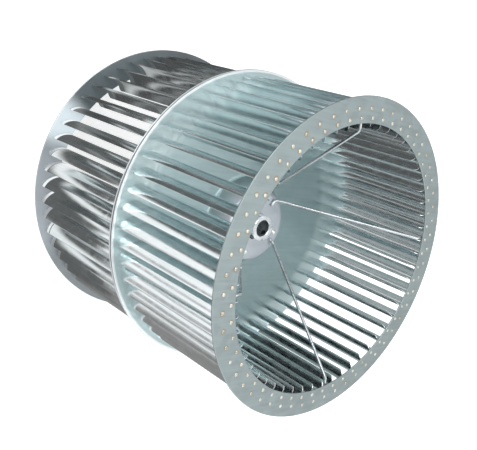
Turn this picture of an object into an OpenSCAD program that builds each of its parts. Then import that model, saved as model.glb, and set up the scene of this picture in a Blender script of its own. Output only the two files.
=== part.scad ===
// Double-inlet, double-width centrifugal blower wheel with forward-curved blades.
// The wheel stands on its back end ring. Its axis is +Z and its origin is under the axis, on the floor.
// The front half is modelled once, above the wheel's middle plane, and the back half is its mirror image.

/* [End rings] */
// Outer diameter of the end rings
ring_d = 457; // [380:1:540]
// Thickness of the end rings
ring_t = 2; // [1.2:0.1:3]
// Width of the wheel over the outer faces of its end rings
wheel_w = 428; // [300:1:500]
// Width of the plain rim between the blades' outer edges and the edge of an end ring
ring_rim = 9; // [6:0.5:16]
// How far the blades' inner edges stand inside the inlets
inlet_step = 8; // [4:0.5:9]

/* [Centre discs] */
// Thickness of the two centre discs
disc_t = 2; // [1.2:0.1:3]
// How far the rim of a centre disc stands out past the end rings
disc_proud = 0.5; // [0:0.1:3]
// Height of the dished crown's face above the wheel's middle plane
dish_h = 36; // [20:0.5:42]
// Diameter of the dished crown, where its flat face would meet its slope
dish_crown_d = 108; // [100:1:120]
// Width of the slope between the crown and the flat web
dish_slope_w = 17; // [12:0.5:30]
// Bend radius of the dish at the middle of the sheet
dish_bend = 7; // [4:0.5:8]

/* [Blades] */
// Blades in each of the eleven sectors of one half
blades_per_sector = 5; // [4:1:6]
// Thickness of the blade sheet
blade_t = 0.8; // [0.6:0.1:1.2]
// Depth of the blade ring, from inner edge to outer edge along the radius
blade_depth = 34.5; // [30:0.5:38]
// Lean of the blade's chord from the radius at its inner edge
blade_lean = 24; // [18:1:30]
// Angle through which a blade curves from its inner to its outer edge
blade_turn = 90; // [70:1:96]
// Direction of the first blade's inner edge
blade_start = 4.5; // [0:0.1:6]
// Length of the cut across the inner corners of a blade
corner_in = 3; // [1:0.1:4]
// Length of the cut across the outer corners of a blade
corner_out = 1.5; // [1:0.1:4]

/* [Staked tabs] */
// Width of a tab
tab_w = 4; // [3:0.1:4.4]
// Width of the shoulder between the edge of the inlet and a blade's inner tab
shoulder_in = 3.3; // [2.5:0.1:4]
// Width of the shoulder between a blade's cut outer corner and its outer tab
shoulder_out = 6.4; // [5:0.1:8]
// Diameter of a tab's staked head
head_d = 5.6; // [5.4:0.1:6.4]
// Height of a staked head above the sheet
head_h = 0.8; // [0.4:0.1:1.2]
// Gap between the facing staked heads of the two centre discs
head_gap = 0.8; // [0.3:0.1:4]
// Clearance between a tab and its slot, all round
slot_clear = 0.2; // [0.1:0.05:0.25]

/* [Hub] */
// Bore of the hub
bore_d = 25.4; // [19:0.1:30]
// Outer diameter of the hub
hub_d = 40; // [38:0.5:46]
// How far the hub's ends stand out past the dished crowns
hub_proud = 16; // [12:0.5:40]
// Chamfer on the hub's edges and at the mouths of its bore
hub_chamfer = 1.2; // [0.5:0.1:2]
// Width of the crown's flat that the hub's flanges leave free at their edges
flange_gap = 0.7; // [0.3:0.1:3]
// Thickness of the hub's flanges
flange_t = 4; // [3:0.5:8]
// Clearance between the hub and the centre discs
hub_clear = 0.15; // [0.05:0.05:0.3]
// Diameter of the set screws
screw_d = 8; // [6:0.5:8]
// Distance of the set screws from the hub's front end
screw_inset = 7.5; // [6:0.5:8]
// How far a set screw stands out of the hub
screw_proud = 2; // [0:0.5:4]
// Width across the flats of a set screw's socket
socket_af = 4; // [3:0.5:4.5]
// Direction of the first set screw; the second stands a quarter turn on
screw_start = 230; // [0:1:359]
// Clearance between a set screw and its hole
screw_clear = 0.1; // [0.05:0.05:0.2]

/* [Rivets] */
// Distance of the rivets' middles from the edge of the hub's flanges
rivet_edge = 5.5; // [5:0.5:12]
// Angle from a tie rod's foot to the next rivet
rivet_lead = 17.8; // [14:0.1:72]
// Shank diameter of a rivet
rivet_d = 5; // [4:0.5:6]
// Head diameter of a rivet
rivet_head_d = 9; // [8:0.5:10]
// Head height of a rivet
rivet_head_h = 2.4; // [1.5:0.1:3]
// Clearance between a rivet and its holes
rivet_clear = 0.1; // [0.05:0.05:0.2]

/* [Tie rods] */
// Diameter of the tie rods
rod_d = 4.6; // [4:0.1:6]
// Direction of the first tie rod's end at the end ring
rod_start = 11.5; // [0:0.5:89]
// Angle by which a tie rod's foot on the dish leads its end at the ring
rod_sweep = 47.7; // [40:0.1:55]
// Distance of a rod's bend at the ring from the edge of the inlet
rod_leg = 10; // [8:0.5:16]
// How far a rod's end reaches under the ring, past the edge of the inlet
rod_tuck = 4; // [2:0.5:5]
// Least gap between a rod and the blades beside it
rod_side_gap = 0.5; // [0.3:0.1:1]
// Distance of a rod's bend at the dish from the edge of the crown
rod_foot_inset = 4; // [2:0.5:8]
// Length of a rod's foot on the crown, up to the corner of its bend
rod_foot_len = 11; // [9.5:0.5:14]
// Bend radius of a rod, at its middle
rod_bend = 8; // [6:0.5:9]
// Thickness of the weld between a rod and what it is fixed to
weld_gap = 0.1; // [0.05:0.05:0.3]

/* [Hidden] */
$fn = 96;
SECTORS = 11;
RODS = 4;

BEND_STEPS = 6;
BEND_LAP = 0.4;                              // how far a rod's straight stretches run into its bends
BEND_SWELL = 0.05;                           // how much thicker a rod is in its bends
past = 1;                                    // how far a cutting shape runs past what it cuts

half_w = wheel_w / 2;
middle_z = half_w + head_h;
blade_out_r = ring_d / 2 - ring_rim;
blade_in_r = blade_out_r - blade_depth;
inlet_r = blade_in_r + inlet_step;
disc_r = ring_d / 2 + disc_proud;
web_z = head_gap / 2 + head_h + disc_t;      // face of the disc's flat web above the middle plane
ring_z = half_w - ring_t;                    // inner face of the end ring above the middle plane

blade_n = SECTORS * blades_per_sector;
blade_pitch = 360 / blade_n;
// The chord runs from the inner edge circle to the outer one.
chord = sqrt(pow(blade_out_r, 2) - pow(blade_in_r * sin(blade_lean), 2)) - blade_in_r * cos(blade_lean);
curve_r = chord / (2 * sin(blade_turn / 2));
// Middles of the two tabs along the chord
tabs_at = [inlet_step + shoulder_in + tab_w / 2, chord - corner_out - shoulder_out - tab_w / 2];

slope_angle = atan((dish_h - web_z) / dish_slope_w);
bend_reach = dish_bend * tan(slope_angle / 2);
hub_end = dish_h + hub_proud;                // front end of the hub above the middle plane
flange_z = dish_h - disc_t;                  // outer face of the hub's flange
flange_r = dish_crown_d / 2 - bend_reach - flange_gap;
rivet_r = flange_r - rivet_edge;
screw_z = hub_end - screw_inset;
screw_tip_r = bore_d / 2 + screw_clear;
rod_foot_r = dish_crown_d / 2 - rod_foot_inset;
rod_foot_a = rod_start + rod_sweep;
// Least angle between a rod's end and the blade beside it
rod_side_a = asin((rod_d / 2 + blade_t / 2 + rod_side_gap) / blade_in_r);
// A blade bows back from its inner edge the most at about this place along its chord.
bow_at = chord / 4;
blade_bow_a = atan2(-curve_y(bow_at) * cos(blade_lean) - bow_at * sin(blade_lean),
    blade_in_r + bow_at * cos(blade_lean) - curve_y(bow_at) * sin(blade_lean));

steel = [0.72, 0.76, 0.76];
bright = [0.82, 0.85, 0.87];
dark_steel = [0.45, 0.47, 0.48];

// Points of a round stretch from angle a to angle b.
function arc(centre, r, a, b) =
    [for (i = [0 : BEND_STEPS]) let (t = a + (b - a) * i / BEND_STEPS) centre + r * [cos(t), sin(t)]];

function polar(r, a, z) = [r * cos(a), r * sin(a), z];

function unit(v) = v / norm(v);

// Puts the front half's shapes above the middle plane, or their mirror image below it.
module side(front) {
    translate([0, 0, middle_z]) mirror([0, 0, front ? 0 : 1]) children();
}

// Moves a shape to a blade's place: x runs along its chord from the inner edge.
module at_blade(i) {
    rotate([0, 0, blade_start + i * blade_pitch]) translate([blade_in_r, 0, 0])
        rotate([0, 0, blade_lean]) children();
}

// A stretch of the blade's curved sheet between two directions from the centre of its curve.
module curved_sheet(from, to, thick, z, h) {
    translate([chord / 2, curve_r * cos(blade_turn / 2), 0])
        rotate_extrude(angle = to - from, start = from)
            translate([curve_r - thick / 2, z]) square([thick, h]);
}

// Direction of a place along the chord, seen from the centre of the blade's curve.
function direction(at) = 270 + asin((at - chord / 2) / curve_r);

// How far the middle of the curved sheet lies beside the chord at a place along it.
function curve_y(at) = curve_r * (cos(blade_turn / 2) + sin(direction(at)));

// Outline of one end of a blade: x along the chord, y away from the blade's own end.
function end_outline(tab_len) = concat(
    [[-past, corner_in + past], [corner_in, 0]],
    [for (at = tabs_at, p = [[-1, 0], [-1, -tab_len], [1, -tab_len], [1, 0]])
        [at + p[0] * tab_w / 2, p[1]]],
    [[chord - corner_out, 0], [chord + past, corner_out + past]]);

function reversed(list) = [for (i = [len(list) - 1 : -1 : 0]) list[i]];

module blade() {
    intersection() {
        curved_sheet(direction(0), direction(chord), blade_t, web_z - disc_t, half_w - web_z + disc_t);
        rotate([90, 0, 0]) linear_extrude(height = 2 * chord, center = true)
            polygon(concat(
                [for (p = end_outline(disc_t)) [p[0], web_z + p[1]]],
                reversed([for (p = end_outline(ring_t)) [p[0], ring_z - p[1]]])));
    }
    for (at = tabs_at) {
        translate([at, curve_y(at), ring_z + ring_t]) cylinder(d = head_d, h = head_h);
        translate([at, curve_y(at), web_z - disc_t - head_h]) cylinder(d = head_d, h = head_h);
    }
}

// The slots for every tab of one half, through a sheet whose lower face is at z.
module tab_slots(z, thick) {
    w = tab_w + 2 * slot_clear;
    for (i = [0 : blade_n - 1], at = tabs_at)
        at_blade(i) intersection() {
            curved_sheet(direction(at - tab_w), direction(at + tab_w), blade_t + 2 * slot_clear,
                z - past, thick + 2 * past);
            translate([at - w / 2, -chord, z - past]) cube([w, 2 * chord, thick + 2 * past]);
        }
}

module blades(front, sector) {
    color(steel) side(front)
        for (i = [0 : blades_per_sector - 1]) at_blade(sector * blades_per_sector + i) blade();
}

module ring(front) {
    color(steel) side(front) difference() {
        translate([0, 0, ring_z]) linear_extrude(height = ring_t) difference() {
            circle(d = ring_d);
            circle(r = inlet_r);
        }
        tab_slots(ring_z, ring_t);
    }
}

// Section of a centre disc: a flat crown, a slope and a flat web, in one sheet.
module disc_section() {
    crown = [dish_crown_d / 2 - bend_reach, dish_h - disc_t / 2 - dish_bend];
    foot = [dish_crown_d / 2 + dish_slope_w + bend_reach, web_z - disc_t / 2 + dish_bend];
    outer = dish_bend + disc_t / 2;
    inner = dish_bend - disc_t / 2;
    hole_r = hub_d / 2 + hub_clear;
    polygon(concat(
        [[hole_r, dish_h]], arc(crown, outer, 90, 90 - slope_angle),
        arc(foot, inner, 270 - slope_angle, 270), [[disc_r, web_z], [disc_r, web_z - disc_t]],
        arc(foot, outer, 270, 270 - slope_angle), arc(crown, inner, 90 - slope_angle, 90),
        [[hole_r, dish_h - disc_t]]));
}

// Runs its children at each rivet's place.
module at_rivets() {
    for (i = [0 : RODS - 1])
        translate(polar(rivet_r, rod_foot_a + rivet_lead + i * 360 / RODS, 0)) children();
}

module rivet_holes(z, thick) {
    at_rivets() translate([0, 0, z - past]) cylinder(d = rivet_d + 2 * rivet_clear, h = thick + 2 * past);
}

module disc(front) {
    color(steel) side(front) difference() {
        rotate_extrude() disc_section();
        tab_slots(web_z - disc_t, disc_t);
        rivet_holes(dish_h - disc_t, disc_t);
    }
}

module rivets(front) {
    head_r = (pow(rivet_head_d / 2, 2) + pow(rivet_head_h, 2)) / (2 * rivet_head_h);
    color(bright) side(front) at_rivets() {
        translate([0, 0, flange_z - flange_t - rivet_head_h / 2])
            cylinder(d = rivet_head_d, h = rivet_head_h / 2);
        translate([0, 0, flange_z - flange_t]) cylinder(d = rivet_d, h = flange_t + disc_t);
        translate([0, 0, dish_h]) intersection() {
            translate([0, 0, rivet_head_h - head_r]) sphere(r = head_r);
            cylinder(d = rivet_head_d + past, h = rivet_head_h);
        }
    }
}

// Section of the hub: its upper half, with a flange behind the crown, and that half's mirror image.
module hub_section() {
    r = hub_d / 2;
    bore_r = bore_d / 2;
    upper = [
        [r, flange_z - flange_t], [flange_r, flange_z - flange_t], [flange_r, flange_z], [r, flange_z],
        [r, hub_end - hub_chamfer], [r - hub_chamfer, hub_end],
        [bore_r + hub_chamfer, hub_end], [bore_r, hub_end - hub_chamfer]];
    polygon(concat(upper, [for (p = reversed(upper)) [p[0], -p[1]]]));
}

module hub() {
    color(bright) translate([0, 0, middle_z]) difference() {
        rotate_extrude() hub_section();
        rivet_holes(flange_z - flange_t, flange_t);
        mirror([0, 0, 1]) rivet_holes(flange_z - flange_t, flange_t);
        at_screws() cylinder(d = screw_d + 2 * screw_clear, h = hub_d);
    }
}

// Runs its children at each set screw's place, with z outwards along the screw.
module at_screws() {
    for (a = [screw_start, screw_start + 90])
        rotate([0, 0, a]) translate([0, 0, screw_z]) rotate([0, 90, 0]) children();
}

module set_screws() {
    length = hub_d / 2 + screw_proud - screw_tip_r;
    color(dark_steel) translate([0, 0, middle_z]) at_screws() translate([0, 0, screw_tip_r])
        difference() {
            cylinder(d = screw_d, h = length);
            translate([0, 0, length / 2]) cylinder(d = socket_af / cos(30), h = length, $fn = 6);
        }
}

// Puts its children at point p, with x along ax and y along ay.
module framed(p, ax, ay) {
    az = cross(ax, ay);
    multmatrix([
        [ax[0], ay[0], az[0], p[0]],
        [ax[1], ay[1], az[1], p[1]],
        [ax[2], ay[2], az[2], p[2]],
        [0, 0, 0, 1]]) children();
}

// A round bar along straight stretches between points, with a bend of radius r at each corner.
// The straight stretches run a little way into the bends, which are a hair thicker.
module bent_bar(points, d, r) {
    last = len(points) - 1;
    ways = [for (i = [0 : last - 1]) unit(points[i + 1] - points[i])];
    // Each corner takes this much from the straight stretches beside it, and the bar's ends nothing.
    corner_cut = [for (i = [1 : last - 1]) r * tan(acos(ways[i - 1] * ways[i]) / 2) - BEND_LAP];
    cut = concat(0, corner_cut, 0);
    for (i = [0 : last - 1]) {
        side_way = unit(cross(ways[i], abs(ways[i][2]) < 0.9 ? [0, 0, 1] : [1, 0, 0]));
        framed(points[i] + ways[i] * cut[i], side_way, cross(ways[i], side_way))
            cylinder(d = d - BEND_SWELL, h = norm(points[i + 1] - points[i]) - cut[i] - cut[i + 1]);
    }
    for (i = [1 : last - 1]) {
        way = ways[i - 1];
        inward = unit(ways[i] - (ways[i] * way) * way);
        framed(points[i] - way * (cut[i] + BEND_LAP) + inward * r, -inward, way)
            rotate_extrude(angle = acos(way * ways[i])) translate([r, 0]) circle(d = d);
    }
}

// Direction a, turned by no more than it takes to stand clear of the blades on both sides.
function between_blades(a) =
    let (p = (a + 360 - blade_start) % blade_pitch)
        a - p + min(max(p, rod_side_a), blade_pitch - blade_bow_a - rod_side_a);

module tie_rod(front, index) {
    foot_z = dish_h + weld_gap + rod_d / 2;
    leg_z = ring_z - weld_gap - rod_d / 2;
    foot_a = rod_foot_a + index * 360 / RODS;
    leg_a = between_blades(rod_start + index * 360 / RODS);
    color(bright) side(front) bent_bar([
        polar(rod_foot_r - rod_foot_len, foot_a, foot_z),
        polar(rod_foot_r, foot_a, foot_z),
        polar(inlet_r - rod_leg, leg_a, leg_z),
        polar(inlet_r + rod_tuck, leg_a, leg_z)], rod_d, rod_bend);
}

ring(true);  // front_ring
ring(false);  // back_ring
disc(true);  // front_disc
disc(false);  // back_disc
hub();
set_screws();
rivets(true);  // front_rivets
rivets(false);  // back_rivets
for (i = [0 : RODS - 1]) {
    tie_rod(true, i);
    tie_rod(false, i);
}
for (i = [0 : SECTORS - 1]) {
    blades(true, i);
    blades(false, i);
}
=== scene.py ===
"""Looks of a double-inlet blower wheel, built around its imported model.

The wheel is galvanised sheet: curved blades staked between end rings and two dished centre discs, with
zinc tie rods from the dish to each inlet and a turned hub. Lengths are metres in the wheel's own frame:
its axis is +Z, and it stands on its back end ring.
"""
import logging
import math
from dataclasses import dataclass
from enum import Enum

import bmesh
import bpy
import numpy as np
from mathutils import Matrix, Vector


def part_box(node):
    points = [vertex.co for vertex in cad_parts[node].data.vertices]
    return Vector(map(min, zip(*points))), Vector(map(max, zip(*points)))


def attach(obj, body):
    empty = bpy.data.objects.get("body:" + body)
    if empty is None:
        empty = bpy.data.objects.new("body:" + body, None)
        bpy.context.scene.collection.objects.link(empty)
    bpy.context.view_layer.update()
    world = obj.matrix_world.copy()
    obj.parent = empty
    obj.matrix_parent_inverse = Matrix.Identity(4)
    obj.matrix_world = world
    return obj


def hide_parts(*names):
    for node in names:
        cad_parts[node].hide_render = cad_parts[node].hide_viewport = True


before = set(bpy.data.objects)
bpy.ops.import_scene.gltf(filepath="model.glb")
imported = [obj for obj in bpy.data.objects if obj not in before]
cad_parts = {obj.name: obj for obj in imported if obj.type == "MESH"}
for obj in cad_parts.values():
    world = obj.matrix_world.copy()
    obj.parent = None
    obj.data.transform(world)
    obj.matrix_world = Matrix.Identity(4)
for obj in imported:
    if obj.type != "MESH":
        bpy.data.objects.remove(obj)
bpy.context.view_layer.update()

MM = 0.001
SHARP_ANGLE = math.radians(40)
MERGE_DISTANCE = 0.001 * MM
WHITE = (1.0, 1.0, 1.0, 1.0)

log = logging.getLogger("blower_wheel")

Colour = tuple[float, float, float]
Triple = tuple[float, float, float]
Socket = bpy.types.NodeSocket


class Half(Enum):
    """The wheel's two halves, which mirror each other across its middle plane."""

    FRONT = 1
    BACK = -1

    @property
    def label(self) -> str:
        """The half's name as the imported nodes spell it."""
        return self.name.lower()


@dataclass(frozen=True)
class WheelSizes:
    """The wheel's sizes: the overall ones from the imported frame, the others as on its drawing."""

    middle_z: float
    half_w: float
    ring_r: float
    ring_t: float
    disc_r: float
    disc_back_z: float
    dish_h: float
    disc_t: float = 2.0 * MM
    blade_rim: float = 9.0 * MM
    blade_depth: float = 34.5 * MM
    inlet_step: float = 8.0 * MM
    head_d: float = 5.6 * MM
    head_h: float = 0.8 * MM

    @classmethod
    def from_frame(cls) -> "WheelSizes":
        """Reads the overall sizes from the boxes of the rings and the front disc.

        Returns:
            The wheel's sizes.
        """
        ring_low, ring_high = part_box("front_ring")
        back_low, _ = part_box("back_ring")
        disc_low, disc_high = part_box("front_disc")
        middle_z = (ring_high.z + back_low.z) / 2
        return cls(
            middle_z=middle_z,
            half_w=ring_high.z - middle_z,
            ring_r=ring_high.x,
            ring_t=ring_high.z - ring_low.z,
            disc_r=disc_high.x,
            disc_back_z=disc_low.z - middle_z,
            dish_h=disc_high.z - middle_z,
        )

    @property
    def blade_out_r(self) -> float:
        """Radius of the blades' outer edges."""
        return self.ring_r - self.blade_rim

    @property
    def blade_in_r(self) -> float:
        """Radius of the blades' inner edges."""
        return self.blade_out_r - self.blade_depth

    @property
    def inlet_r(self) -> float:
        """Radius of the inlet in an end ring."""
        return self.blade_in_r + self.inlet_step

    @property
    def ring_back_z(self) -> float:
        """Inner face of an end ring above the middle plane."""
        return self.half_w - self.ring_t

    @property
    def web_z(self) -> float:
        """Face of a disc's flat web above the middle plane."""
        return self.disc_back_z + self.disc_t


def rounded(points: np.ndarray, radii: np.ndarray, steps: int = 4) -> np.ndarray:
    """Rounds the corners of a polygon or a path, in the plane or in space.

    At a corner with opening angle a, an arc of radius r starts r / tan(a / 2) from the corner and has
    its centre on the bisector, r / sin(a / 2) away. The arc's points turn evenly from end to end.

    Args:
        points: Corners, shape (n, 2) or (n, 3), taken as a closed loop.
        radii: Radius at each corner; where it is 0 the corner stays as it is.
        steps: Stretches in each arc.

    Returns:
        The new points in the same order, without doubles.
    """
    back = np.roll(points, 1, axis=0) - points
    ahead = np.roll(points, -1, axis=0) - points
    back = back / np.linalg.norm(back, axis=1, keepdims=True)
    ahead = ahead / np.linalg.norm(ahead, axis=1, keepdims=True)
    half = np.arccos(np.clip((back * ahead).sum(axis=1), -1 + 1e-9, 1 - 1e-9)) / 2
    cut = (radii / np.tan(half))[:, None]
    middle = back + ahead
    middle = middle / np.maximum(np.linalg.norm(middle, axis=1, keepdims=True), 1e-9)
    centre = points + middle * (radii / np.sin(half))[:, None]
    first = points + back * cut - centre
    last = points + ahead * cut - centre
    turn = (math.pi - 2 * half)[:, None, None]
    share = np.linspace(0, 1, steps + 1)[None, :, None]
    arc = np.sin((1 - share) * turn) * first[:, None] + np.sin(share * turn) * last[:, None]
    arc = centre[:, None] + arc / np.maximum(np.sin(turn), 1e-9)
    arc = np.where(radii[:, None, None] > 0, arc, points[:, None])
    flat = arc.reshape(-1, points.shape[1])
    return flat[np.linalg.norm(flat - np.roll(flat, 1, axis=0), axis=1) > MERGE_DISTANCE]


def held(path: np.ndarray, hold: float) -> np.ndarray:
    """Adds a point close to both ends of each long stretch, so that flat faces shade flat.

    Args:
        path: Points of an open path, shape (n, d).
        hold: Distance of the added points from the ends of their stretch.

    Returns:
        The path with its added points.
    """
    step = np.diff(path, axis=0)
    length = np.linalg.norm(step, axis=1, keepdims=True)
    way = step / length
    rows = np.stack([path[:-1], path[:-1] + way * hold, path[1:] - way * hold], axis=1)
    keep = np.repeat(length > 4 * hold, 3, axis=1)
    keep[:, 0] = True
    return np.concatenate([rows[keep], path[-1:]])


def sheet_outline(middle: np.ndarray, thickness: float, edge_r: float) -> np.ndarray:
    """Outline of a bent sheet: its middle line moved half the thickness to both sides, with eased edges.

    Args:
        middle: Points of the sheet's middle line, shape (n, 2).
        thickness: Thickness of the sheet.
        edge_r: Radius on the sheet's four edges.

    Returns:
        A closed outline whose point i lies opposite its point m - 1 - i.
    """
    way = np.gradient(middle, axis=0)
    way = way / np.linalg.norm(way, axis=1, keepdims=True)
    side = np.stack([-way[:, 1], way[:, 0]], axis=1) * thickness / 2
    outline = np.concatenate([middle + side, (middle - side)[::-1]])
    radii = np.zeros(len(outline))
    radii[[0, len(middle) - 1, len(middle), -1]] = edge_r
    return rounded(outline, radii)


def turned_about_axis(points: np.ndarray, angles: np.ndarray) -> np.ndarray:
    """Copies of a set of points, turned about +Z: x cos a - y sin a, and x sin a + y cos a.

    Args:
        points: Shape (..., 3).
        angles: Turn of each copy in radians, shape (k,).

    Returns:
        The copies, shape (k, ..., 3).
    """
    shape = (len(angles),) + (1,) * (points.ndim - 1)
    cos, sin = np.cos(angles).reshape(shape), np.sin(angles).reshape(shape)
    x, y = points[..., 0], points[..., 1]
    z = np.broadcast_to(points[..., 2], (x * cos).shape)
    return np.stack([x * cos - y * sin, x * sin + y * cos, z], axis=-1)


def grid_faces(rows: int, columns: int, close_rows: bool, close_columns: bool) -> np.ndarray:
    """Quads between neighbouring points of a grid that is stored row by row.

    Args:
        rows: Rows of points.
        columns: Points in a row.
        close_rows: Whether the last row joins the first.
        close_columns: Whether the last point of a row joins the first.

    Returns:
        Corner numbers, shape (faces, 4).
    """
    row = np.arange(rows if close_rows else rows - 1)[:, None]
    column = np.arange(columns if close_columns else columns - 1)[None, :]
    next_row, next_column = (row + 1) % rows, (column + 1) % columns
    corners = np.broadcast_arrays(row * columns + column, row * columns + next_column,
                                  next_row * columns + next_column, next_row * columns + column)
    return np.stack(corners, axis=-1).reshape(-1, 4)


def in_scene(name: str, data: bpy.types.ID) -> bpy.types.Object:
    """Makes an object of a mesh, a camera or a lamp, and adds it to the scene.

    Args:
        name: Name of the object.
        data: What it shows.

    Returns:
        The object, at the origin.
    """
    made = bpy.data.objects.new(name, data)
    bpy.context.scene.collection.objects.link(made)
    return made


@dataclass(frozen=True)
class Surface:
    """A closed surface above the middle plane: points (n, 3) and quads (m, 4)."""

    points: np.ndarray
    quads: np.ndarray

    @classmethod
    def copies(cls, points: np.ndarray, quads: np.ndarray) -> "Surface":
        """Copies of one surface, whose points differ and whose quads don't.

        Args:
            points: Points of each copy, shape (k, n, 3).
            quads: Corner numbers in one copy, shape (m, 4).

        Returns:
            All the copies as one surface.
        """
        count, size = points.shape[:2]
        moved = quads[None] + (np.arange(count) * size)[:, None, None]
        return cls(points.reshape(-1, 3), moved.reshape(-1, 4))

    @classmethod
    def turned(cls, outline: np.ndarray, steps: int) -> "Surface":
        """A closed outline carried once round the axis.

        Args:
            outline: Radius and height of its points, shape (n, 2).
            steps: Stretches in the turn.

        Returns:
            The turned surface.
        """
        angles = np.linspace(0, 2 * math.pi, steps, endpoint=False)
        flat = np.stack([outline[:, 0], np.zeros(len(outline)), outline[:, 1]], axis=1)
        quads = grid_faces(steps, len(outline), True, True)
        return cls(turned_about_axis(flat, angles).reshape(-1, 3), quads)

    @classmethod
    def swept(cls, path: np.ndarray, radii: np.ndarray, sides: int, level: np.ndarray) -> "Surface":
        """A round bar whose radius changes along a path: each ring stands square to the path.

        Args:
            path: Middle line, shape (n, 3).
            radii: Radius at each of its points; 0 at both ends closes the bar.
            sides: Points in a ring.
            level: A direction that the path never follows, from which the rings are turned.

        Returns:
            The bar.
        """
        way = np.gradient(path, axis=0)
        way = way / np.linalg.norm(way, axis=1, keepdims=True)
        right = np.cross(way, level)
        right = right / np.linalg.norm(right, axis=1, keepdims=True)
        up = np.cross(way, right)
        angle = np.linspace(0, 2 * math.pi, sides, endpoint=False)[None, :, None]
        ring = np.cos(angle) * right[:, None] + np.sin(angle) * up[:, None]
        points = path[:, None] + ring * radii[:, None, None]
        return cls(points.reshape(-1, 3), grid_faces(len(path), sides, False, True))

    def mesh(self, name: str, half: Half, middle_z: float) -> bpy.types.Mesh:
        """The surface as a mesh of one half, with its faces outwards and its poles closed.

        Args:
            name: Name of the mesh.
            half: The half that it belongs to; the back half is the mirror image.
            middle_z: Height of the middle plane.

        Returns:
            The mesh, in the wheel's own frame.
        """
        placed = self.points * np.array([1.0, 1.0, half.value]) + np.array([0.0, 0.0, middle_z])
        mesh = bpy.data.meshes.new(name)
        mesh.from_pydata(placed, [], self.quads)
        work = bmesh.new()
        work.from_mesh(mesh)
        bmesh.ops.remove_doubles(work, verts=work.verts, dist=MERGE_DISTANCE)
        bmesh.ops.recalc_face_normals(work, faces=work.faces)
        work.to_mesh(mesh)
        work.free()
        mesh.shade_smooth()
        mesh.set_sharp_from_angle(angle=SHARP_ANGLE)
        return mesh


class NodeGraph:
    """A tree of shader nodes, written as short calls that return sockets."""

    def __init__(self, tree: bpy.types.NodeTree) -> None:
        """Takes over a tree and empties it."""
        self.tree = tree
        self.tree.nodes.clear()

    def node(self, kind: str, inputs: dict | None = None, **settings: str) -> bpy.types.Node:
        """Adds a node.

        Args:
            kind: Its type without the leading ShaderNode.
            inputs: Values or sockets for its inputs, by name or number.
            settings: Its own settings.

        Returns:
            The node.
        """
        made = self.tree.nodes.new("ShaderNode" + kind)
        for key, value in settings.items():
            setattr(made, key, value)
        for key, value in (inputs or {}).items():
            if isinstance(value, Socket):
                self.tree.links.new(value, made.inputs[key])
            else:
                made.inputs[key].default_value = value
        return made

    def math(self, operation: str, *values: Socket | float) -> Socket:
        """One step of arithmetic on sockets or numbers."""
        return self.node("Math", dict(enumerate(values)), operation=operation).outputs[0]

    def product(self, first: Socket, second: Socket | float) -> Socket:
        """First times second."""
        return self.math("MULTIPLY", first, second)

    def weighed(self, first: Socket, first_weight: float, second: Socket, second_weight: float) -> Socket:
        """Sum of two sockets, each times its weight."""
        return self.math("ADD", self.product(first, first_weight), self.product(second, second_weight))

    def length(self, first: Socket, second: Socket) -> Socket:
        """Root of the sum of two squares."""
        return self.math("SQRT", self.math("ADD", self.product(first, first), self.product(second, second)))

    def spread(self, value: Socket, low: float, high: float, start: float = 0.0, end: float = 1.0) -> Socket:
        """Maps start to low and end to high, with a soft rise between them."""
        inputs = {"Value": value, "From Min": start, "From Max": end, "To Min": low, "To Max": high}
        return self.node("MapRange", inputs, interpolation_type="SMOOTHSTEP").outputs[0]

    def seen(self) -> Socket:
        """Picks the rays that show the surroundings: from the camera, off metal or through glass.

        Returns:
            1 for such rays, 0 for those that only light the wheel.
        """
        path = self.node("LightPath").outputs
        either = self.math("MAXIMUM", path["Is Camera Ray"], path["Is Glossy Ray"])
        return self.math("MAXIMUM", either, path["Is Transmission Ray"])


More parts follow.
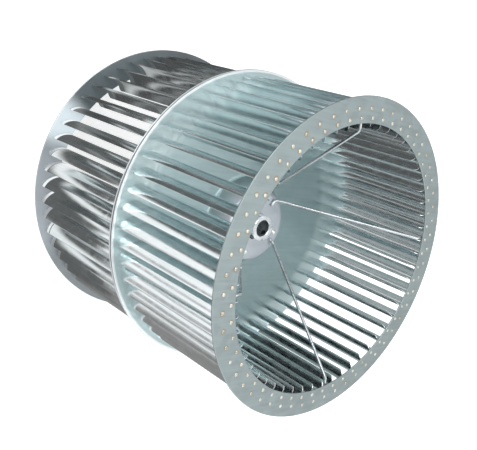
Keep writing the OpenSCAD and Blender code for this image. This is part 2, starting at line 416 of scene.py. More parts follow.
class Graph(NodeGraph):
    """The nodes of a material whose patterns lie in the object's own coordinates."""

    def __init__(self, name: str) -> None:
        """Starts an empty material.

        Args:
            name: Name of the material.
        """
        self.material = bpy.data.materials.new(name)
        self.material.use_nodes = True
        super().__init__(self.material.node_tree)
        self.place = self.node("TexCoord").outputs["Object"]
        self.x, self.y, self.z = self.node("SeparateXYZ", {0: self.place}).outputs

    def radius(self) -> Socket:
        """Distance from the wheel's axis."""
        return self.length(self.x, self.y)

    def towards(self, x: float, y: float) -> Socket:
        """How far a point lies from the axis in the direction (x, y)."""
        return self.weighed(self.x, x, self.y, y)

    def away_from(self, height: float) -> Socket:
        """Distance from the level plane at a height."""
        return self.math("ABSOLUTE", self.math("SUBTRACT", self.z, height))

    def outside(self, radius: float, soft: float) -> Socket:
        """Rises from 0 to 1 across a soft edge at a radius."""
        return self.spread(self.radius(), 0.0, 1.0, radius - soft, radius + soft)

    def noise(self, where: Socket, scale: float, detail: float) -> Socket:
        """Soft noise from 0 to 1."""
        return self.node("TexNoise", {"Vector": where, "Scale": scale, "Detail": detail}).outputs["Fac"]

    def cells(self, scale: float) -> Socket:
        """A random number from 0 to 1 for each cell of a crystal pattern."""
        cell = self.node("TexVoronoi", {"Vector": self.place, "Scale": scale})
        return self.node("SeparateColor", {"Color": cell.outputs["Color"]}).outputs[0]

    def blend(self, share: Socket, first: Socket | Colour, second: Colour) -> Socket:
        """Colour between first and second.

        Args:
            share: Share of the second colour, from 0 to 1.
            first: A colour or a pattern of colours.
            second: The other colour.

        Returns:
            The blended colour.
        """
        first = first if isinstance(first, Socket) else (*first, 1.0)
        inputs = {"Factor": share, 6: first, 7: (*second, 1.0)}
        return self.node("Mix", inputs, data_type="RGBA").outputs[2]

    def bumped(self, height: Socket, depth: float) -> Socket:
        """Normal of a surface whose height varies by depth."""
        return self.node("Bump", {"Height": height, "Strength": 1.0, "Distance": depth}).outputs[0]

    def ended(self, shader: bpy.types.Node) -> bpy.types.Material:
        """The material, with a shader on its output."""
        self.node("OutputMaterial", {"Surface": shader.outputs[0]})
        return self.material

    def metal(self, colour: Socket, roughness: Socket, normal: Socket) -> bpy.types.Material:
        """Ends the material in a metal shader."""
        inputs = {"Metallic": 1.0, "Base Color": colour, "Roughness": roughness, "Normal": normal}
        return self.ended(self.node("BsdfPrincipled", inputs))


class Grain(Enum):
    """Direction in which sheet was rolled, as the stretch of its streaks along each axis."""

    ALONG_AXIS = (1.0, 1.0, 0.035)
    ACROSS = (0.06, 1.0, 1.0)


@dataclass(frozen=True)
class TarnishShadeHalo:
    """Brown tarnish and painted contact shade round the staked heads: two rows of round spots, stronger
    towards one side.
    """

    seats: np.ndarray
    pitch: float
    middle_z: float
    from_z: float
    colour: Colour
    towards: tuple[float, float]
    inner_r: float = 2.6 * MM
    outer_r: float = 4.6 * MM
    patches_per_m: float = 70.0

    def share(self, graph: Graph) -> Socket:
        """Strength of the tarnish and painted shade, from 0 to 1.

        The distance from the nearest head of a row is the root of the squares of two lengths: radius less
        the row's radius, and the row's radius times the angle left over after whole pitches. The spots
        come and go in soft patches, and only faces farther than from_z from the middle plane take the tarnish
        and painted shade.

        Args:
            graph: The ring's material.

        Returns:
            The strength.
        """
        angle = graph.math("ARCTAN2", graph.y, graph.x)
        rows = []
        for x, y, _ in self.seats.tolist():
            row_r = math.hypot(x, y)
            past = graph.math("SUBTRACT", angle, math.atan2(y, x))
            left = graph.math("WRAP", past, self.pitch / 2, -self.pitch / 2)
            across = graph.math("SUBTRACT", graph.radius(), row_r)
            rows.append(graph.length(graph.product(left, row_r), across))
        spot = graph.spread(graph.math("MINIMUM", *rows), 1.0, 0.0, self.inner_r, self.outer_r)
        side = graph.spread(graph.towards(*self.towards), 0.08, 1.0, 0.02, 0.2)
        patch = graph.spread(graph.noise(graph.place, self.patches_per_m, 1.0), 0.1, 1.0, 0.4, 0.65)
        outside = graph.math("GREATER_THAN", graph.away_from(self.middle_z), self.from_z)
        return graph.product(graph.product(spot, outside), graph.product(side, patch))


@dataclass(frozen=True)
class PaleCrown:
    """Paler metal on the crown of the dish, with a soft edge on its slope."""

    radius: float
    soft: float
    colour: Colour

    def share(self, graph: Graph) -> Socket:
        """Strength of the paler colour, from 1 on the crown to 0 past its slope."""
        return graph.spread(graph.radius(), 1.0, 0.0, self.radius - self.soft, self.radius + self.soft)


@dataclass(frozen=True)
class PaintedLightBand:
    """A brighter outer band of a disc: painted light that stands in for light the band catches."""

    radius: float
    soft: float
    colour: Colour

    def share(self, graph: Graph) -> Socket:
        """Strength of the painted light, from 0 inside the band to 1 in it."""
        return graph.outside(self.radius, self.soft)


@dataclass(frozen=True)
class InnerFacePaintedLight:
    """The face of an end ring that looks into the wheel, paler with painted light that offsets the shade
    inside the wheel.
    """

    middle_z: float
    up_to_z: float
    colour: Colour

    def share(self, graph: Graph) -> Socket:
        """Strength of the painted light: 1 nearer to the middle plane than up_to_z, else 0."""
        return graph.math("LESS_THAN", graph.away_from(self.middle_z), self.up_to_z)


@dataclass(frozen=True)
class StakingDents:
    """Dents that staking has left where blades and centre discs meet."""

    middle_z: float
    web_z: float
    from_r: float
    depth: float
    reach: float = 11.0 * MM
    soft: float = 3.0 * MM
    dents_per_m: float = 120.0

    def height(self, graph: Graph) -> Socket:
        """Height of the dents: soft noise that fades away from the disc and inside from_r.

        Args:
            graph: The sheet's material.

        Returns:
            The height in metres.
        """
        near = graph.spread(graph.away_from(self.middle_z), 1.0, 0.0, self.web_z, self.web_z + self.reach)
        noise = graph.noise(graph.place, self.dents_per_m, 1.0)
        dents = graph.product(noise, graph.outside(self.from_r, self.soft))
        return graph.product(graph.product(dents, near), self.depth)


@dataclass(frozen=True)
class MetalFinish:
    """A metal whose colour and roughness each vary between two values."""

    name: str
    dark: Colour
    light: Colour
    polish: tuple[float, float]

    def clouded(self, graph: Graph, tone: Socket, cloud: Socket, normal: Socket) -> bpy.types.Material:
        """The material, with its colour after one pattern and its roughness after another."""
        colour = graph.blend(graph.spread(tone, 0.0, 1.0, 0.35, 0.65), self.dark, self.light)
        return graph.metal(colour, graph.spread(cloud, *self.polish, 0.3, 0.7), normal)


@dataclass(frozen=True)
class GalvanisedSheet(MetalFinish):
    """Hot-dipped sheet: faint crystals, streaks along the roll and a slightly uneven polish."""

    grain: Grain
    streaks_per_m: float = 520.0
    crystals_per_m: float = 95.0
    patches_per_m: float = 16.0
    waviness: float = 0.2 * MM
    streak_depth: float = 0.012 * MM
    marks: tuple[TarnishShadeHalo | PaleCrown | PaintedLightBand | InnerFacePaintedLight, ...] = ()
    dents: StakingDents | None = None

    def material(self) -> bpy.types.Material:
        """Builds the finish: colour, polish and relief follow the same streaks, patches and crystals.

        The tone is mostly streaks, with half as much of the slow patches and a touch of the crystals.

        Returns:
            The material.
        """
        graph = Graph(self.name)
        drawn = graph.node("Mapping", {"Vector": graph.place, "Scale": self.grain.value}).outputs[0]
        streak = graph.noise(drawn, self.streaks_per_m, 4.0)
        patch = graph.noise(graph.place, self.patches_per_m, 2.0)
        crystal = graph.cells(self.crystals_per_m)
        tone = graph.math("ADD", graph.weighed(streak, 0.6, crystal, 0.12), graph.product(patch, 0.3))
        colour = graph.blend(graph.spread(tone, 0.0, 1.0, 0.3, 0.75), self.dark, self.light)
        # Each mark blends in its own colour; some marks are painted light and painted shade.
        for mark in self.marks:
            colour = graph.blend(mark.share(graph), colour, mark.colour)
        rough = graph.spread(graph.weighed(streak, 0.6, crystal, 0.4), *self.polish, 0.2, 0.8)
        relief = graph.math("ADD", graph.product(streak, self.streak_depth / self.waviness), patch)
        if self.dents:
            dent = graph.math("DIVIDE", self.dents.height(graph), self.waviness)
            relief = graph.math("ADD", relief, dent)
        return graph.metal(colour, rough, graph.bumped(relief, self.waviness))


@dataclass(frozen=True)
class ZincPlate(MetalFinish):
    """Zinc plating on wire, rivets and staked heads, with dull specks."""

    specks_per_m: float = 400.0
    relief: float = 0.03 * MM

    def material(self) -> bpy.types.Material:
        """Builds the finish from two sizes of specks.

        Returns:
            The material.
        """
        graph = Graph(self.name)
        speck = graph.noise(graph.place, self.specks_per_m, 3.0)
        cloud = graph.noise(graph.place, self.specks_per_m / 8, 2.0)
        tone = graph.weighed(speck, 0.5, cloud, 0.5)
        return self.clouded(graph, tone, cloud, graph.bumped(speck, self.relief))


@dataclass(frozen=True)
class TurnedSteel(MetalFinish):
    """Lathe-turned steel: fine grooves that run round the axis."""

    grooves_per_m: float = 2600.0
    clouds_per_m: float = 60.0
    groove_depth: float = 0.01 * MM

    def material(self) -> bpy.types.Material:
        """Builds the finish: noise of radius and height alone gives rings on faces and on barrels.

        Returns:
            The material.
        """
        graph = Graph(self.name)
        where = graph.node("CombineXYZ", {0: graph.radius(), 1: graph.z}).outputs[0]
        groove = graph.noise(where, self.grooves_per_m, 2.0)
        cloud = graph.noise(graph.place, self.clouds_per_m, 3.0)
        tone = graph.weighed(groove, 0.4, cloud, 0.6)
        return self.clouded(graph, tone, cloud, graph.bumped(groove, self.groove_depth))


@dataclass(frozen=True)
class HalfPart:
    """A sub-assembly of one half, which adds its pieces to the scene."""

    sizes: WheelSizes
    half: Half

    def add(self, surface: Surface, name: str, finish: bpy.types.Material, slot: str, node: str = "") -> None:
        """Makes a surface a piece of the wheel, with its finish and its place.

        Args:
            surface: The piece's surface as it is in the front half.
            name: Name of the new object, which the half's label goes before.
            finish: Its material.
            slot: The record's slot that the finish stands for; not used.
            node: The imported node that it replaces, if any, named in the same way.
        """
        label = self.half.label
        mesh = surface.mesh(f"{label}_{name}", self.half, self.sizes.middle_z)
        mesh.materials.append(finish)
        piece = in_scene(mesh.name, mesh)
        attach(piece, "root")
        if node:
            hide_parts(f"{label}_{node}")
        log.info("%s: %d faces", piece.name, len(mesh.polygons))


@dataclass(frozen=True)
class BladeRow(HalfPart):
    """The curved blades of one half, in packs of five, and the staked heads of their tabs."""

    sheet: bpy.types.Material
    staked: bpy.types.Material
    sectors: int = 11
    blades_per_sector: int = 5
    thickness: float = 0.8 * MM
    edge_r: float = 0.25 * MM
    lean: float = math.radians(24)
    turn: float = math.radians(90)
    start: float = math.radians(4.5)
    corner_in: float = 3.0 * MM
    corner_out: float = 1.5 * MM
    tab_in_at: float = 13.3 * MM
    tab_out_inset: float = 9.9 * MM
    bow: float = 0.25 * MM
    ripple: float = 0.06 * MM
    ripples_long: int = 5
    ripples_across: int = 3
    head_flank: float = 0.45
    head_top: float = 0.8
    out_of_round: float = 0.05
    curve_points: int = 17
    length_points: int = 14
    head_points: int = 6
    head_sides: int = 14

    @property
    def count(self) -> int:
        """Number of blades."""
        return self.sectors * self.blades_per_sector

    @property
    def pitch(self) -> float:
        """Angle from one blade to the next."""
        return 2 * math.pi / self.count

    @property
    def chord(self) -> float:
        """Straight distance from a blade's inner edge to its outer one."""
        inner, outer = self.sizes.blade_in_r, self.sizes.blade_out_r
        return math.sqrt(outer**2 - (inner * math.sin(self.lean))**2) - inner * math.cos(self.lean)

    @property
    def curve_r(self) -> float:
        """Radius of a blade's curve."""
        return self.chord / (2 * math.sin(self.turn / 2))

    def on_curve(self, at: np.ndarray) -> np.ndarray:
        """Points of the blade's middle line at distances along its chord, shape (n, 2)."""
        sag = self.curve_r * math.cos(self.turn / 2) - np.sqrt(self.curve_r**2 - (at - self.chord / 2)**2)
        return np.stack([at, sag], axis=1)

    def seated(self, local: np.ndarray) -> np.ndarray:
        """Moves points from a blade's own axes, x along its chord, to its seat in the wheel."""
        leaned = turned_about_axis(local, np.array([self.lean]))[0]
        return leaned + np.array([self.sizes.blade_in_r, 0.0, 0.0])

    def bow_back(self) -> float:
        """How far a blade bows back from its inner edge, the most at a quarter of its chord.

        Returns:
            The angle in radians.
        """
        point = self.on_curve(np.array([self.chord / 4]))
        x, y, _ = self.seated(np.column_stack([point, [0.0]]))[0]
        return -math.atan2(y, x)

    def tab_seats(self) -> np.ndarray:
        """Finds the middles of the first blade's two tabs.

        Returns:
            The two points, shape (2, 3).
        """
        seats = self.on_curve(np.array([self.tab_in_at, self.chord - self.tab_out_inset]))
        seats = self.seated(np.column_stack([seats, np.zeros(2)]))
        return turned_about_axis(seats, np.array([self.start]))[0]

    def outline(self) -> np.ndarray:
        """A blade's outline across its length: a curved sheet, with points where its corners are cut.

        Returns:
            The closed outline, shape (n, 2).
        """
        swing = np.linspace(-self.turn / 2, self.turn / 2, self.curve_points)
        at = self.chord / 2 + self.curve_r * np.sin(swing)
        at[[0, -1]] = 0.0, self.chord
        for cut_at in (self.corner_in, self.chord - self.corner_out):
            at[np.abs(at - cut_at).argmin()] = cut_at
        return sheet_outline(self.on_curve(at), self.thickness, self.edge_r)

    def pack(self, sector: int) -> Surface:
        """The blades of one sector.

        Along a blade's length, height runs between two end lines: the flat end, or where a corner is
        cut, the distance from the cut's start. Each blade bows by a hair, as the sine of half a turn
        along its length, and ripples across its curve.

        Args:
            sector: Number of the sector, from 0.

        Returns:
            The five blades as one surface.
        """
        outline = self.outline()
        along = np.clip(outline[:, 0], 0, self.chord)
        cut = np.maximum(self.corner_in - along, along - (self.chord - self.corner_out)).clip(min=0)
        share = np.linspace(0, 1, self.length_points)[:, None]
        low = self.sizes.web_z + cut
        high = self.sizes.ring_back_z - cut
        height = low + (high - low) * share
        random = np.random.default_rng(1000 + 100 * self.half.value + sector)
        bend, phase, swell = random.uniform(-1, 1, (self.blades_per_sector, 3)).T[:, :, None, None]
        held_ends = np.sin(math.pi * share)
        waves = self.ripples_long * share + self.ripples_across * along / self.chord + phase
        x = np.broadcast_to(outline[:, 0], waves.shape)
        y = outline[:, 1] + held_ends * (self.bow * bend + self.ripple * swell * np.sin(math.pi * waves))
        local = np.stack([x, y, np.broadcast_to(height, x.shape)], axis=-1)
        first = sector * self.blades_per_sector
        angles = self.start + self.pitch * (first + np.arange(self.blades_per_sector))
        placed = [turned_about_axis(blade, np.array([a]))[0] for blade, a in zip(self.seated(local), angles)]
        columns = len(outline)
        i = np.arange(columns // 2 - 1)
        cap = np.stack([i, i + 1, columns - 2 - i, columns - 1 - i], axis=1)
        sides = grid_faces(self.length_points, columns, False, True)
        quads = np.concatenate([sides, cap, cap + (self.length_points - 1) * columns])
        return Surface.copies(np.stack(placed).reshape(self.blades_per_sector, -1, 3), quads)

    def heads(self, base_z: float, upwards: int) -> Surface:
        """Staked heads of a row's tabs on one sheet: low domes, each a little out of round.

        A dome's outline is (cos s) to the power head_flank of its radius, and (sin s) to the power
        head_top of its height, for s from 0 to a quarter turn.

        Args:
            base_z: Height of the sheet's face above the middle plane.
            upwards: 1 where the heads stand up from the face, -1 where they hang from it.

        Returns:
            All the heads as one surface.
        """
        s = np.linspace(0, math.pi / 2, self.head_points)
        flank = np.maximum(np.cos(s), 0)**self.head_flank
        radius = np.concatenate([[0.0], flank])[:, None] * self.sizes.head_d / 2
        rise = np.concatenate([[0.0], np.sin(s)**self.head_top])[:, None] * self.sizes.head_h
        seats = turned_about_axis(self.tab_seats(), self.pitch * np.arange(self.count))
        random = np.random.default_rng(20 + self.half.value + 10 * upwards)
        phase, squeeze = random.uniform(0, 1, (2, 2 * self.count, 1, 1))
        angle = np.linspace(0, 2 * math.pi, self.head_sides, endpoint=False)[None, None]
        oval = squeeze * (np.cos(2 * angle + 2 * math.pi * phase) - 1)
        out = radius[None] * (1 - self.out_of_round + self.out_of_round * oval)
        lift = np.broadcast_to(base_z + upwards * rise[None], out.shape)
        domes = np.stack([out * np.cos(angle), out * np.sin(angle), lift], axis=-1)
        placed = domes + seats.reshape(-1, 1, 1, 3)
        quads = grid_faces(len(rise), self.head_sides, False, True)
        return Surface.copies(placed.reshape(2 * self.count, -1, 3), quads)

    def build(self) -> None:
        """Makes the packs of blades and the staked heads on the end ring and on the disc's back."""
        for sector in range(self.sectors):
            number = sector + 1
            self.add(self.pack(sector), f"blade_pack_{number}", self.sheet, "blade_sheet", f"blades_{number}")
        self.add(self.heads(self.sizes.half_w, 1), "ring_staked_heads", self.staked, "blade_sheet")
        self.add(self.heads(self.sizes.disc_back_z, -1), "disc_staked_heads", self.staked, "blade_sheet")


@dataclass(frozen=True)
class EndRing(HalfPart):
    """The flat ring that closes the blades' outer ends and frames the inlet."""

    sheet: bpy.types.Material
    edge_r: float = 0.9 * MM
    hold: float = 1.2 * MM
    steps: int = 320

    def build(self) -> None:
        """Makes the ring: a sheet's outline from the inlet to the rim, carried round the axis."""
        middle_z = self.sizes.half_w - self.sizes.ring_t / 2
        ends = np.array([[self.sizes.inlet_r, middle_z], [self.sizes.ring_r, middle_z]])
        outline = sheet_outline(held(ends, self.hold), self.sizes.ring_t, self.edge_r)
        self.add(Surface.turned(outline, self.steps), "ring_sheet", self.sheet, "ring_sheet", "ring")


@dataclass(frozen=True)
class CentreDisc(HalfPart):
    """The flat web that carries the blades' inner ends, with a dish pressed round the hub."""

    sheet: bpy.types.Material
    crown_d: float = 108.0 * MM
    slope_w: float = 17.0 * MM
    bend: float = 7.0 * MM
    hole_r: float = 20.15 * MM
    edge_r: float = 0.9 * MM
    hold: float = 1.2 * MM
    bend_steps: int = 12
    steps: int = 320

    def build(self) -> None:
        """Makes the disc: crown, slope and web as one bent sheet, carried round the axis."""
        half_t = self.sizes.disc_t / 2
        crown_z, web_z = self.sizes.dish_h - half_t, self.sizes.web_z - half_t
        corners = np.array([[self.hole_r, crown_z], [self.crown_d / 2, crown_z],
                            [self.crown_d / 2 + self.slope_w, web_z], [self.sizes.disc_r, web_z]])
        bent = rounded(corners, np.array([0.0, self.bend, self.bend, 0.0]), self.bend_steps)
        outline = sheet_outline(held(bent, self.hold), self.sizes.disc_t, self.edge_r)
        self.add(Surface.turned(outline, self.steps), "disc_sheet", self.sheet, "disc_sheet", "disc")


@dataclass(frozen=True)
class TieRods(HalfPart):
    """The bent rods that brace one inlet against the dish, and the welds at their ends."""

    blades: BladeRow
    wire: bpy.types.Material
    weld: bpy.types.Material
    count: int = 4
    diameter: float = 4.6 * MM
    bend: float = 8.0 * MM
    start: float = math.radians(11.5)
    sweep: float = math.radians(47.7)
    leg: float = 10.0 * MM
    tuck: float = 4.0 * MM
    side_gap: float = 0.5 * MM
    foot_r: float = 50.0 * MM
    foot_len: float = 11.0 * MM
    weld_gap: float = 0.1 * MM
    hold: float = 0.5 * MM
    end_face: float = 0.86
    end_step: float = 0.02
    bend_steps: int = 10
    rod_sides: int = 20
    foot_weld: float = 0.95
    leg_weld: float = 0.35
    bead: float = 1.2 * MM
    bead_in: float = 0.3 * MM
    bead_up: float = 0.4 * MM
    puddles: float = 40.0
    puddle_ripple: float = 0.1
    bead_points: int = 18
    bead_sides: int = 10

    def leg_angle(self, nominal: float) -> float:
        """Direction of a rod's end at the ring.

        It is the nominal direction, turned by no more than it takes to clear the blades on both sides: as
        seen from the axis, half the rod, half the blade and the gap span an arcsine of their sum over the
        radius of the blades' inner edges.

        Args:
            nominal: The direction that even spacing gives, in radians.

        Returns:
            The direction in radians.
        """
        pitch = self.blades.pitch
        past_blade = (nominal - self.blades.start) % pitch
        clear = self.diameter / 2 + self.blades.thickness / 2 + self.side_gap
        side = math.asin(clear / self.sizes.blade_in_r)
        return nominal - past_blade + min(max(past_blade, side), pitch - self.blades.bow_back() - side)

    def path(self, index: int) -> np.ndarray:
        """Middle line of one rod: foot, long stretch and leg, with a bend at both corners.

        Args:
            index: Number of the rod, from 0.

        Returns:
            Points of the line, shape (n, 3).
        """
        foot_z = self.sizes.dish_h + self.weld_gap + self.diameter / 2
        leg_z = self.sizes.ring_back_z - self.weld_gap - self.diameter / 2
        radius = np.array([self.foot_r - self.foot_len, self.foot_r, self.sizes.inlet_r - self.leg,
                           self.sizes.inlet_r + self.tuck])
        nominal = self.start + 2 * math.pi * index / self.count
        foot_a, leg_a = nominal + self.sweep, self.leg_angle(nominal)
        angle = np.array([foot_a, foot_a, leg_a, leg_a])
        corners = np.column_stack([radius * np.cos(angle), radius * np.sin(angle),
                                   [foot_z, foot_z, leg_z, leg_z]])
        return rounded(corners, np.array([0.0, self.bend, self.bend, 0.0]), self.bend_steps)

    def rod(self, path: np.ndarray) -> Surface:
        """A round bar along a rod's path, whose flat ends are end_face of its width.

        Args:
            path: Middle line of the rod.

        Returns:
            The bar.
        """
        path = held(path, self.hold)
        near_ends = path[[0, -1]] + (path[[1, -2]] - path[[0, -1]]) * self.end_step
        path = np.concatenate([path[:1], near_ends[:1], path[1:-1], near_ends[1:], path[-1:]])
        radii = np.full(len(path), self.diameter / 2)
        radii[[1, -2]] *= self.end_face
        radii[[0, -1]] = 0.0
        foot, rise = path[3] - path[1], path[len(path) // 2] - path[1]
        return Surface.swept(path, radii, self.rod_sides, np.cross(foot, rise))

    def beads(self, path: np.ndarray) -> Surface:
        """Weld beads of a rod: along both sides of its foot and of its end at the ring.

        A bead's radius is its full one times the root of the sine of half a turn along it, with a ripple
        where the weld puddles overlap.

        Args:
            path: Middle line of the rod.

        Returns:
            The four beads as one surface.
        """
        foot = (path[0], path[0] + (path[1] - path[0]) * self.foot_weld, self.sizes.dish_h + self.bead_up)
        leg_start = path[-1] + (path[-2] - path[-1]) * self.leg_weld
        leg = (leg_start, path[-1], self.sizes.ring_back_z - self.bead_up)
        share = np.linspace(0, 1, self.bead_points)
        swell = np.sqrt(np.maximum(np.sin(math.pi * share), 0))
        swell = swell * (1 + self.puddle_ripple * np.sin(self.puddles * share))
        up = np.array([0.0, 0.0, 1.0])
        runs = []
        for start, end, z in (foot, leg):
            way = (end - start) / np.linalg.norm(end - start)
            side = np.array([-way[1], way[0], 0.0]) * (self.diameter / 2 - self.bead_in)
            for sign in (-1, 1):
                line = start + (end - start) * share[:, None] + side * sign
                line[:, 2] = z
                runs.append(Surface.swept(line, self.bead * swell, self.bead_sides, up))
        return Surface.copies(np.stack([run.points for run in runs]), runs[0].quads)

    def build(self) -> None:
        """Makes each rod and its welds."""
        for index in range(self.count):
            path, number = self.path(index), index + 1
            self.add(self.rod(path), f"rod_{number}", self.wire, "rod_wire", f"tie_rod_{number}")
            self.add(self.beads(path), f"rod_welds_{number}", self.weld, "rod_wire")


@dataclass(frozen=True)
class HubParts:
    """The turned hub, its set screws and the rivets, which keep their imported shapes."""

    hub: bpy.types.Material
    screws: bpy.types.Material
    rivets: bpy.types.Material

    def build(self) -> None:
        """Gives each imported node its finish."""
        finishes = {"hub": self.hub, "set_screws": self.screws, "front_rivets": self.rivets,
                    "back_rivets": self.rivets}
        for name, finish in finishes.items():
            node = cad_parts[name]
            node.data.materials.clear()
            node.data.materials.append(finish)
            log.info("%s keeps its packed shape", name)


@dataclass(frozen=True)
class PhotoCamera:
    """The photograph's view: a camera that leans over, so that the standing wheel seems to lie."""

    place: Triple = (-0.7217, 0.1931, 0.9474)
    target: Triple = (0.0706, -0.0155, 0.3073)
    roll: float = math.radians(113.588)
    lens_mm: float = 50.016
    shift: tuple[float, float] = (-0.1499, 0.0461)

    def build(self) -> None:
        """Makes the scene's camera: level with the horizon first, then rolled about its own view."""
        look = (Vector(self.target) - Vector(self.place)).normalized()
        level = look.cross(Vector((0, 0, 1))).normalized()
        upright = level.cross(look)
        right = level * math.cos(self.roll) + upright * math.sin(self.roll)
        up = upright * math.cos(self.roll) - level * math.sin(self.roll)
        data = bpy.data.cameras.new("photo_camera")
        data.lens = self.lens_mm
        data.shift_x, data.shift_y = self.shift
        camera = in_scene("photo_camera", data)
        turn = Matrix((right, up, -look)).transposed().to_4x4()
        camera.matrix_world = Matrix.Translation(self.place) @ turn
        bpy.context.scene.camera = camera


@dataclass(frozen=True)
class SoftBox:
    """A square lamp that faces the wheel."""

    name: str
    place: Triple
    side: float
    power: float

    def build(self, target: Vector) -> None:
        """Makes the lamp and turns it to the target.

        Args:
            target: The point that it faces.
        """
        data = bpy.data.lights.new(self.name, "AREA")
        data.shape, data.size, data.energy = "SQUARE", self.side, self.power
        lamp = in_scene(self.name, data)
        lamp.location = self.place
        lamp.rotation_mode = "QUATERNION"
        lamp.rotation_quaternion = (target - Vector(self.place)).to_track_quat("-Z", "Y")


@dataclass(frozen=True)
class FloorCard:
    """A glowing card laid round the wheel, as photographers lay cards to shape what bright metal mirrors: its
    glow is a painted reflection, bright or dark.

    It is a sector about the wheel's axis and shows up in reflections only. Its direction, half spread
    and soft sides are degrees about the axis, and its level is a share of white.
    """

    name: str
    direction: float
    half_spread: float
    level: float
    tint: Colour = (1.0, 1.0, 1.0)
    soft: float = 8.0
    far: float = 1.5
    soft_width: float = 0.03
    rim_points: int = 24

    def build(self, height: float) -> None:
        """Makes the card as a flat fan: one point on the axis, and the others at even angles round it.

        Args:
            height: Height of the card above the floor.
        """
        reach = math.radians(self.half_spread + self.soft)
        middle = math.radians(self.direction)
        angle = np.linspace(middle - reach, middle + reach, self.rim_points)
        rim = np.stack([np.cos(angle), np.sin(angle), np.zeros(self.rim_points)], axis=1)
        points = np.concatenate([np.zeros((1, 3)), rim * self.far]) + np.array([0.0, 0.0, height])
        fan = np.arange(1, self.rim_points)
        mesh = bpy.data.meshes.new(self.name)
        mesh.from_pydata(points, [], np.column_stack([np.zeros_like(fan), fan, fan + 1]))
        card = in_scene(self.name, mesh)
        mesh.materials.append(self.material(middle, reach))
        for kind in ("camera", "diffuse", "transmission", "volume_scatter", "shadow"):
            setattr(card, f"visible_{kind}", False)

    def material(self, middle: float, reach: float) -> bpy.types.Material:
        """A plain glow that fades out at the card's sides and at its far edge.

        Args:
            middle: Direction of the card's middle in radians.
            reach: Angle from there to its sides, where the glow has gone.

        Returns:
            The material.
        """
        graph = Graph(self.name)
        ahead = graph.towards(math.cos(middle), math.sin(middle))
        aside = graph.towards(-math.sin(middle), math.cos(middle))
        swing = graph.math("ABSOLUTE", graph.math("ARCTAN2", aside, ahead))
        within = graph.spread(swing, 1.0, 0.0, reach - 2 * math.radians(self.soft), reach)
        close = graph.spread(graph.radius(), 1.0, 0.0, self.far - self.soft_width, self.far)
        # Painted reflection: a glow that only reflections show.
        glow = graph.node("Emission", {"Color": (*self.tint, 1.0), "Strength": self.level}).outputs[0]
        clear = graph.node("BsdfTransparent").outputs[0]
        return graph.ended(graph.node("MixShader", {0: graph.product(within, close), 1: clear, 2: glow}))


@dataclass(frozen=True)
class Studio:
    """A pale floor and soft light around the wheel, with glowing cards as painted reflections for its blades
    to mirror.
    """

    sizes: WheelSizes
    floor_side: float = 14.0
    floor_colour: Colour = (0.7, 0.7, 0.7)
    floor_lift: float = 0.74
    surround: float = 0.4
    boxes: tuple[SoftBox, ...] = (
        SoftBox("key_box", (-1.3, 1.5, 1.7), 1.2, 26.0),
        SoftBox("fill_box", (0.3, -2.1, 1.9), 2.2, 23.0),
        SoftBox("inlet_box", (0.4, 0.2, 2.4), 1.2, 14.0),
    )
    # Painted reflections: glowing cards, bright and dark, that only reflections show.
    cards: tuple[FloorCard, ...] = (
        FloorCard("grey_card_right", 350.0, 22.0, 0.5),
        FloorCard("dark_card_rear", 84.0, 26.0, 0.11),
        FloorCard("grey_card_rear_left", 128.0, 20.0, 0.15, (0.9, 1.0, 1.02)),
        FloorCard("pale_card_left", 190.0, 22.0, 0.5, (1.0, 0.98, 1.0)),
        FloorCard("bright_card_left", 158.0, 10.0, 1.14, soft=4.0),
        FloorCard("bright_strip_left", 183.0, 6.0, 1.14, soft=3.0),
        FloorCard("bright_strip_front_left", 203.0, 3.0, 1.1, soft=3.0),
        FloorCard("grey_card_front_left", 237.0, 27.0, 0.3, (1.0, 0.96, 0.95)),
        FloorCard("dark_card_front", 282.0, 20.0, 0.26, (0.75, 1.0, 0.98)),
        FloorCard("grey_card_front_right", 316.0, 14.0, 0.46, (0.88, 1.0, 1.0)),
        FloorCard("grey_card_rear_right", 34.0, 24.0, 0.2, (0.85, 1.0, 1.02)),
        FloorCard("bright_strip_rear_right", 40.0, 5.0, 0.9, soft=4.0),
        FloorCard("dark_card_near_left", 190.0, 42.0, 0.14, far=0.34),
        FloorCard("bright_strip_near_left", 172.0, 4.0, 1.0, soft=3.0, far=0.34),
        FloorCard("bright_strip_near_front_left", 203.0, 4.0, 1.0, soft=3.0, far=0.34),
        FloorCard("dark_card_near_rear", 100.0, 50.0, 0.09, far=0.33),
        FloorCard("pale_strip_near_rear", 132.0, 2.5, 0.6, soft=2.5, far=0.33),
        FloorCard("pale_strip_near_far_rear", 117.0, 2.0, 0.5, soft=2.0, far=0.33),
    )

    def floor(self) -> None:
        """Makes the floor: matt and pale, lifted to the white of the surroundings where it is seen."""
        half = self.floor_side / 2
        corners = [(-half, -half, 0), (half, -half, 0), (half, half, 0), (-half, half, 0)]
        mesh = bpy.data.meshes.new("studio_floor")
        mesh.from_pydata(corners, [], [(0, 1, 2, 3)])
        graph = Graph("studio_floor")
        matt = graph.node("BsdfDiffuse", {"Color": (*self.floor_colour, 1.0)}).outputs[0]
        glow = graph.node("Emission", {"Strength": graph.product(graph.seen(), self.floor_lift)}).outputs[0]
        mesh.materials.append(graph.ended(graph.node("AddShader", {0: matt, 1: glow})))
        in_scene("studio_floor", mesh)

    def world(self) -> None:
        """Makes the surroundings: white where they are seen, and softer as a light."""
        world = bpy.data.worlds.new("studio_world")
        world.use_nodes = True
        graph = NodeGraph(world.node_tree)
        level = graph.node("MapRange", {"Value": graph.seen(), "To Min": self.surround, "To Max": 1.0})
        sky = graph.node("Background", {"Color": WHITE, "Strength": level.outputs[0]})
        graph.node("OutputWorld", {"Surface": sky.outputs[0]})
        bpy.context.scene.world = world

    def build(self) -> None:
        """Makes floor, surroundings, lamps and cards, and sets plain colour handling."""
        self.floor()
        self.world()
        target = Vector((0.0, 0.0, self.sizes.middle_z))
        for box in self.boxes:
            box.build(target)
        for number, card in enumerate(self.cards, 1):
            card.build(number * MM)
        bpy.context.scene.view_settings.view_transform = "Standard"


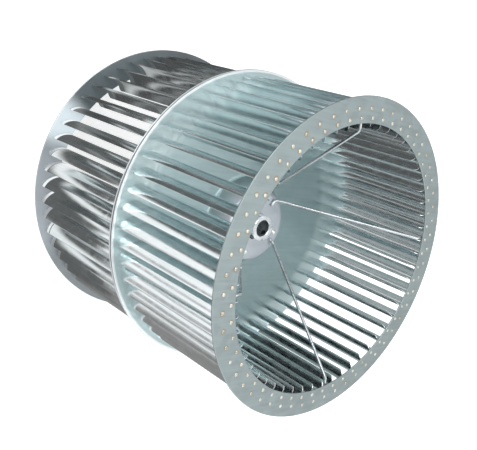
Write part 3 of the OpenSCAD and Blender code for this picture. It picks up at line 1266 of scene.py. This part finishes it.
def blade_finish(sizes: WheelSizes) -> bpy.types.Material:
    """Bright sheet, streaked along the blades and dented where they meet the discs.

    Args:
        sizes: The wheel's sizes.

    Returns:
        The blades' material.
    """
    dents = StakingDents(sizes.middle_z, sizes.web_z, from_r=0.0, depth=0.8 * MM)
    return GalvanisedSheet("galvanised_blade", (0.70, 0.76, 0.77), (0.85, 0.89, 0.90), (0.08, 0.22),
                           Grain.ALONG_AXIS, streak_depth=0.018 * MM, dents=dents).material()


def ring_finish(sizes: WheelSizes, blades: BladeRow) -> bpy.types.Material:
    """Duller sheet, with painted light on the face that looks inwards, and tarnish with painted shade round
    the staked heads.

    Args:
        sizes: The wheel's sizes.
        blades: The blades whose heads stand on the ring.

    Returns:
        The end rings' material.
    """
    # Painted light: the ring's inward face is paler, to offset the shade inside the wheel.
    inner_face_painted_light = InnerFacePaintedLight(sizes.middle_z, sizes.half_w - 0.75 * sizes.ring_t, (0.64, 0.72, 0.76))
    # Brown tarnish with painted contact shade round the staked heads, stronger towards one side of the ring.
    tarnish_and_shade = TarnishShadeHalo(blades.tab_seats(), blades.pitch, sizes.middle_z, from_z=sizes.half_w - sizes.ring_t / 2,
                   colour=(0.30, 0.22, 0.12), towards=(-0.93, 0.36))
    return GalvanisedSheet("galvanised_ring", (0.25, 0.295, 0.30), (0.29, 0.34, 0.345), (0.38, 0.55),
                           Grain.ACROSS, streaks_per_m=300.0, marks=(inner_face_painted_light, tarnish_and_shade)).material()


def disc_finish(sizes: WheelSizes) -> bpy.types.Material:
    """Duller sheet, paler on the crown, with painted light under the blades and a painted highlight at the
    rim, and dented among the blades.

    Args:
        sizes: The wheel's sizes.

    Returns:
        The discs' material.
    """
    crown = PaleCrown(radius=62.0 * MM, soft=7.0 * MM, colour=(0.52, 0.56, 0.60))
    # Painted light: the disc is paler under the blades, so the blades mirror a brighter disc.
    seat = PaintedLightBand(radius=sizes.blade_in_r - 2.0 * MM, soft=8.0 * MM, colour=(0.40, 0.49, 0.50))
    # Painted highlight along the disc's rim, which shows as two bright lines at the middle of the wheel.
    rim = PaintedLightBand(radius=sizes.disc_r - 3.5 * MM, soft=1.0 * MM, colour=(0.72, 0.76, 0.78))
    dents = StakingDents(sizes.middle_z, sizes.web_z, from_r=sizes.blade_in_r + 3.0 * MM, depth=0.45 * MM)
    return GalvanisedSheet("galvanised_disc", (0.26, 0.35, 0.36), (0.32, 0.41, 0.42), (0.34, 0.44),
                           Grain.ACROSS, streaks_per_m=200.0, waviness=0.12 * MM,
                           marks=(crown, seat, rim), dents=dents).material()


def main() -> None:
    """Builds the wheel's pieces, the studio and the camera in order."""
    logging.basicConfig(level=logging.INFO, format="%(message)s")
    sizes = WheelSizes.from_frame()
    PhotoCamera().build()
    blade_sheet = blade_finish(sizes)
    staked = ZincPlate("staked_heads", (0.38, 0.36, 0.29), (0.60, 0.60, 0.54), (0.25, 0.5)).material()
    rows = [BladeRow(sizes, half, blade_sheet, staked) for half in Half]
    ring_sheet = ring_finish(sizes, rows[0])
    disc_sheet = disc_finish(sizes)
    wire = ZincPlate("zinc_wire", (0.33, 0.36, 0.37), (0.50, 0.53, 0.55), (0.22, 0.36), 250.0).material()
    weld = ZincPlate("weld_beads", (0.30, 0.31, 0.32), (0.62, 0.64, 0.65), (0.3, 0.55), 900.0).material()
    rivet = ZincPlate("rivet_heads", (0.55, 0.56, 0.53), (0.76, 0.77, 0.74), (0.25, 0.45), 500.0).material()
    turned = TurnedSteel("turned_hub", (0.60, 0.64, 0.66), (0.82, 0.85, 0.87), (0.22, 0.38)).material()
    black = ZincPlate("black_screws", (0.05, 0.05, 0.055), (0.14, 0.14, 0.15), (0.35, 0.5), 600.0).material()
    for half, blades in zip(Half, rows):
        EndRing(sizes, half, ring_sheet).build()
        CentreDisc(sizes, half, disc_sheet).build()
        blades.build()
        TieRods(sizes, half, blades, wire, weld).build()
    HubParts(turned, black, rivet).build()
    Studio(sizes).build()


if __name__ == "__main__":
    main()
